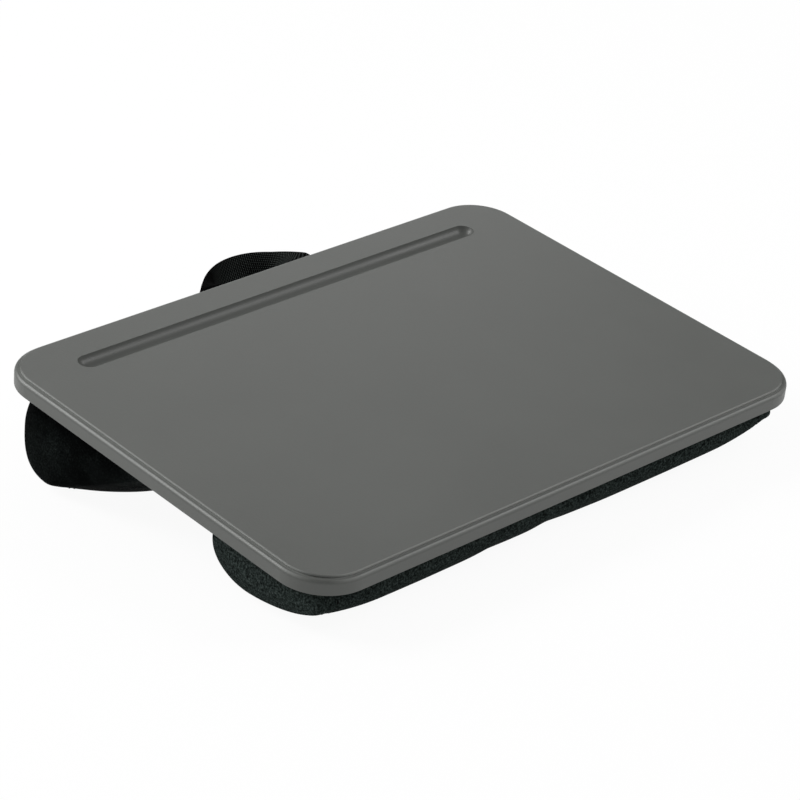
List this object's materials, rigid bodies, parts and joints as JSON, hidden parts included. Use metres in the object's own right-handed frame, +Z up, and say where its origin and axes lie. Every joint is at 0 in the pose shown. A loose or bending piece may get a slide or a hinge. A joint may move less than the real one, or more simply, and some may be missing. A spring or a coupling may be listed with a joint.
{
  "type": "lap desk",
  "caption": "Lap desk: a rigid grey board with rounded corners and a pen groove, on soft front and rear bolsters that slope it to the user, with a webbing carry handle behind.",
  "frame": {"origin": "middle of the outline on the plane that both bolsters rest on", "axes": "+X along the board to the user's right, -Y towards the user, +Z up; the board's rear edge is raised"},
  "size_m": [0.368, 0.3006, 0.0729],
  "materials": {
    "vinyl_film": "matte charcoal grey vinyl film, very fine pebble",
    "fibreboard": "raw medium-density fibreboard",
    "backing_paper": "plain backing paper",
    "base_cloth": "black woven polyester",
    "bolster_cloth": "black brushed polyester",
    "beads": "white expanded beads",
    "webbing": "black woven polypropylene webbing",
    "staple_wire": "galvanised wire"
  },
  "bodies": {
    "desk": {"board_core": "fibreboard", "board_film": "vinyl_film", "board_backer": "backing_paper", "base_cloth": "base_cloth", "cloth_staples": "staple_wire", "rear_cover": "bolster_cloth", "rear_end_left": "bolster_cloth", "rear_end_right": "bolster_cloth", "rear_fill": "beads", "front_cover": "bolster_cloth", "front_end_left": "bolster_cloth", "front_end_right": "bolster_cloth", "front_fill": "beads", "handle_tail_left": "webbing", "handle_tail_right": "webbing", "handle_staples": "staple_wire"},
    "handle": {"handle_loop": "webbing"}
  },
  "joints": [
    {"name": "handle_swing", "type": "hinge", "parent": "desk", "child": "handle", "pos_m": [0.0085, 0.11794, 0.06172], "axis": [1, 0, 0], "range_deg": [-70, 0], "stiffness_Nm_per_rad": 0.05}
  ]
}
